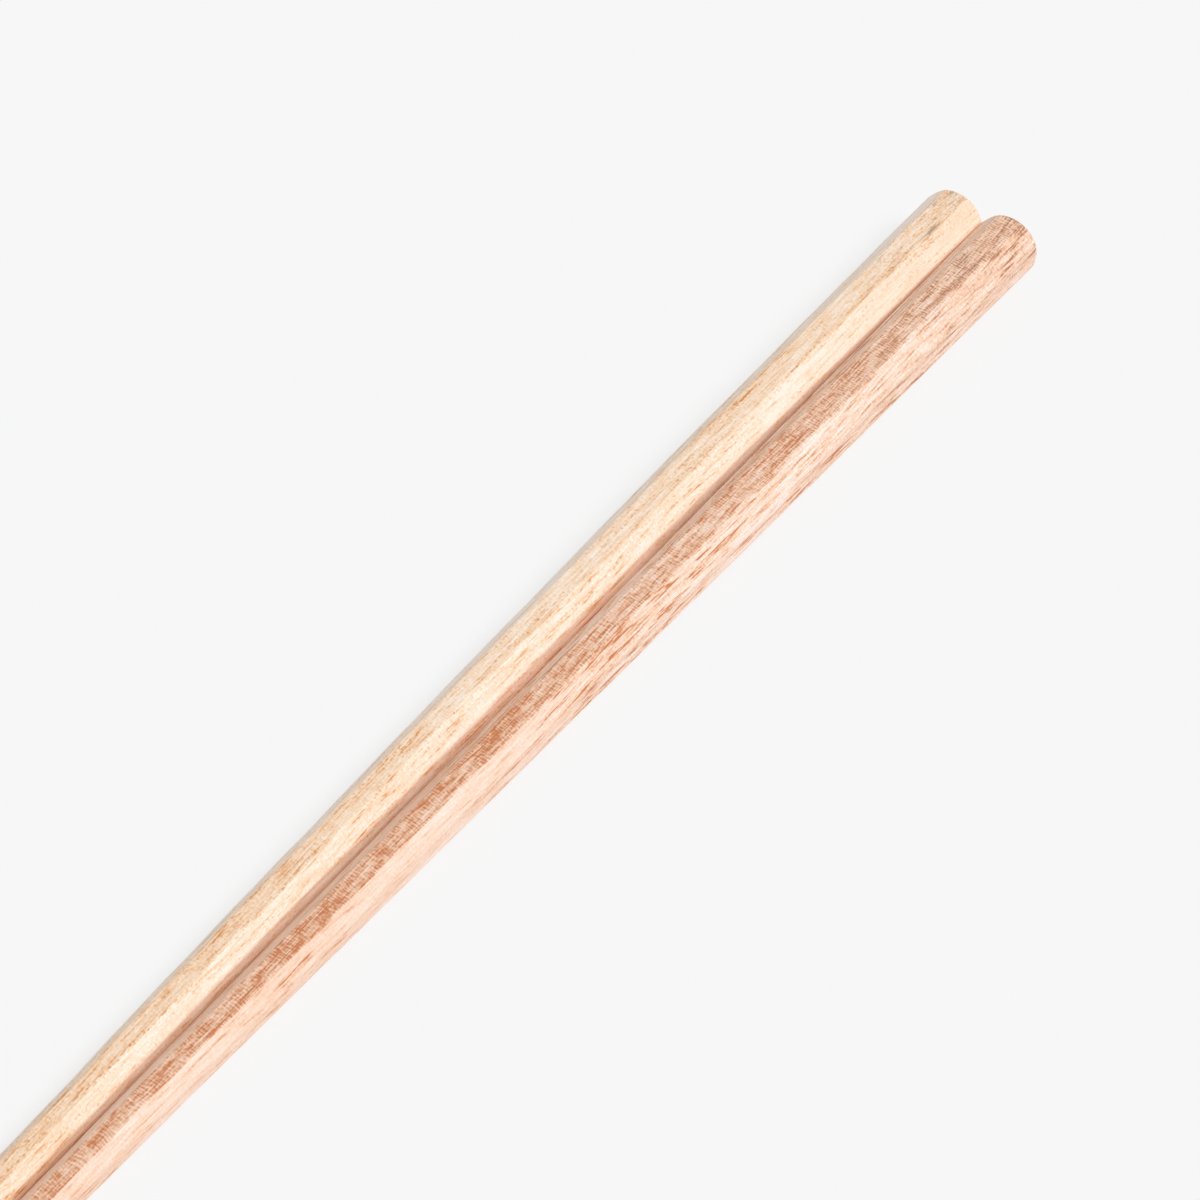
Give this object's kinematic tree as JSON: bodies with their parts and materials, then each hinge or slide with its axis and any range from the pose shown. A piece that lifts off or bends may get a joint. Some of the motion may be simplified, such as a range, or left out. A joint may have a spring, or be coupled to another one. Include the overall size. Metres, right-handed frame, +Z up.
{
  "type": "pair of wooden chopsticks",
  "caption": "Pair of tapering octagonal wooden chopsticks lying side by side, with softened edges and turned, rounded ends.",
  "frame": {"origin": "on the table, under the middle of the pair", "axes": "+X along the sticks from the tips to the handle ends, +Y across the pair to the left stick, +Z up from the table"},
  "size_m": [0.24, 0.0182, 0.009],
  "materials": {
    "cream_wood": "smooth sanded pale hardwood with a faint satin sheen, cream with short tan flecks",
    "tan_wood": "smooth sanded pale hardwood with a faint satin sheen, pinkish tan with brown streaks and fine cross-grain ripple"
  },
  "bodies": {
    "root": {"left_chopstick": "cream_wood", "right_chopstick": "tan_wood"}
  },
  "joints": []
}
